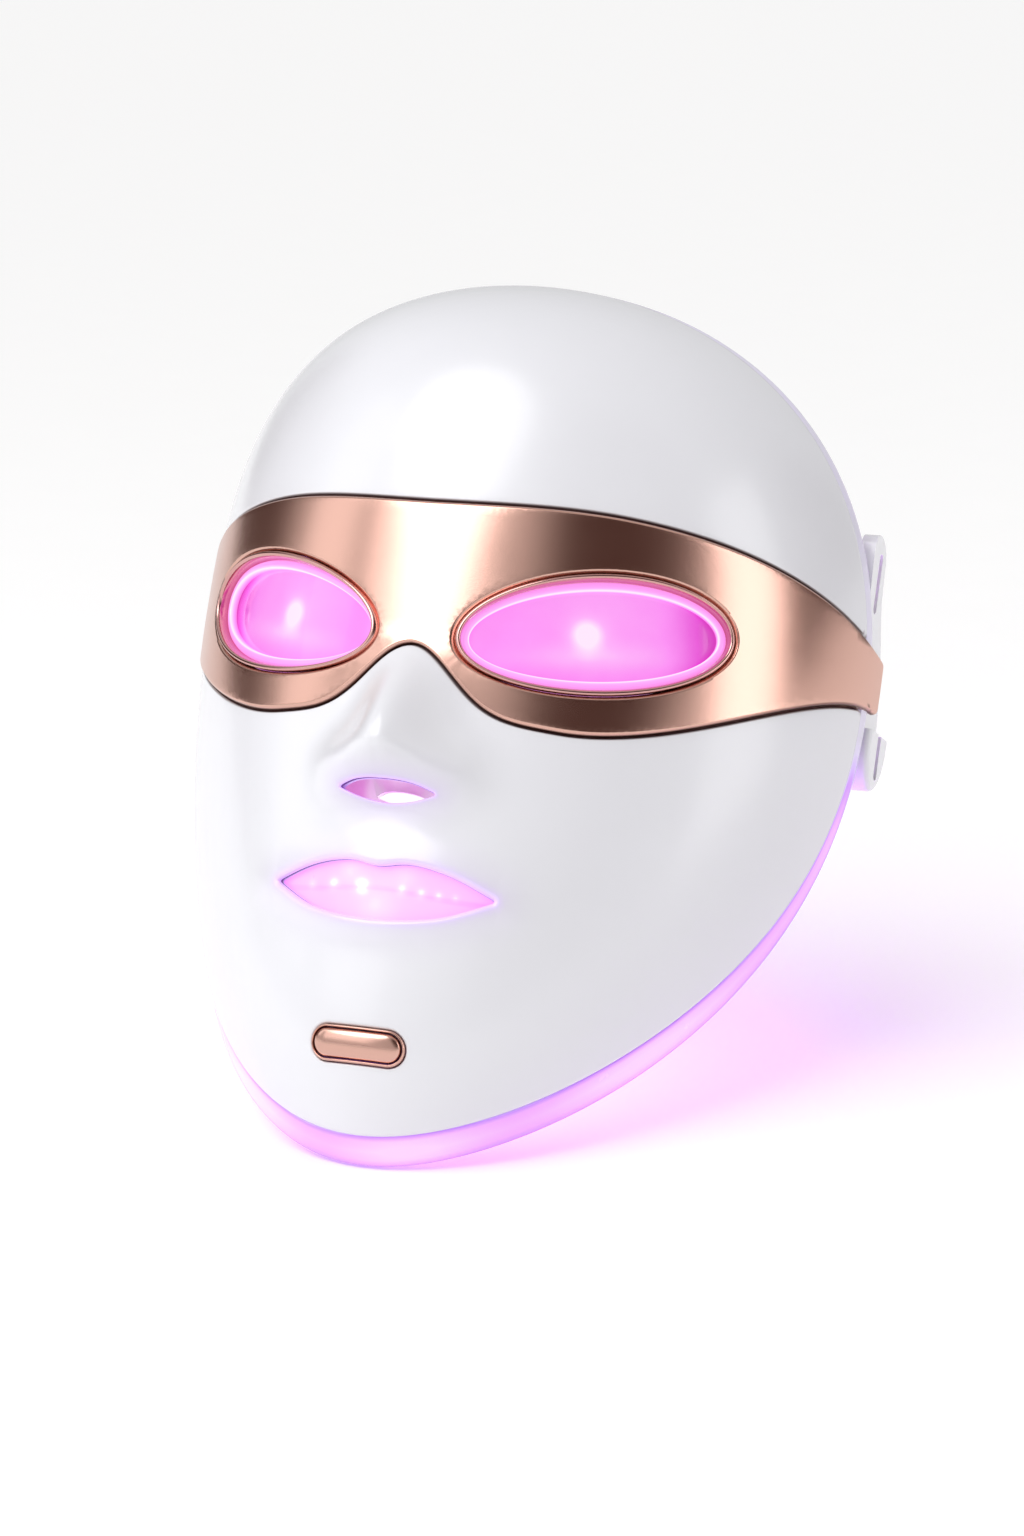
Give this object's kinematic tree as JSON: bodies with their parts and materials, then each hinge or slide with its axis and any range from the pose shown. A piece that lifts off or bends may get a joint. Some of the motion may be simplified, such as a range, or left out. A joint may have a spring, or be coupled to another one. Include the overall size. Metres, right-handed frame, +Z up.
{
  "type": "led face mask",
  "caption": "Full-face light therapy mask: white shell, rose-gold visor band, glowing eye and mouth windows, translucent liner and swinging strap arms.",
  "frame": {"origin": "middle of the mask's bounding box, on the ground under it", "axes": "+Z up, the face looks along -Y and leans back 24.4 degrees onto its chin rim, the wearer's left is +X"},
  "size_m": [0.1626, 0.1315, 0.1761],
  "materials": {
    "white_shell": "high gloss",
    "rose_gold": "satin rose-gold anodised",
    "bezel_rose": "polished rose",
    "light_guide": "frosted, lit pink",
    "pink_lens": "tinted, lit magenta",
    "liner_clear": "frosted translucent",
    "circuit_board": "white solder mask",
    "led_package": "phosphor dome in a white body",
    "cell_foil": "pouch foil",
    "steel": "brushed",
    "black_plastic": "matte"
  },
  "bodies": {
    "mask": {"outer_shell": "white_shell", "visor_band": "rose_gold", "glow_rim": "light_guide", "liner": "liner_clear", "liner_screws": "steel", "eye_bezel_left": "bezel_rose", "eye_bezel_right": "bezel_rose", "eye_guide_left": "light_guide", "eye_guide_right": "light_guide", "eye_lens_left": "pink_lens", "eye_lens_right": "pink_lens", "mouth_window": "pink_lens", "board_forehead": "circuit_board", "board_cheek_left": "circuit_board", "board_cheek_right": "circuit_board", "board_chin": "circuit_board", "leds_forehead": "led_package", "leds_cheek_left": "led_package", "leds_cheek_right": "led_package", "leds_chin": "led_package", "ribbon_left": "circuit_board", "ribbon_right": "circuit_board", "battery": "cell_foil", "main_board": "circuit_board", "tactile_switch": "black_plastic", "button_ring": "rose_gold", "usb_socket": "steel", "usb_board": "circuit_board", "arm_bracket_left": "steel", "arm_bracket_right": "steel", "arm_pin_left": "rose_gold", "arm_pin_right": "rose_gold"},
    "button": {"power_button": "rose_gold"},
    "arm_left": {"strap_arm_left": "white_shell"},
    "arm_right": {"strap_arm_right": "white_shell"}
  },
  "joints": [
    {"name": "power_button", "type": "slide", "parent": "mask", "child": "button", "axis": [0, 0.9107, -0.4131], "range_m": [0, 0.0005], "stiffness_N_per_m": 600, "springref_m": -0.0005},
    {"name": "strap_arm_left", "type": "hinge", "parent": "mask", "child": "arm_left", "pos_m": [0.07575, 0.05404, 0.08381], "axis": [1, 0, 0], "range_deg": [-6, 2]},
    {"name": "strap_arm_right", "type": "hinge", "parent": "mask", "child": "arm_right", "pos_m": [-0.07575, 0.05404, 0.08381], "axis": [1, 0, 0], "range_deg": [-6, 2]}
  ]
}
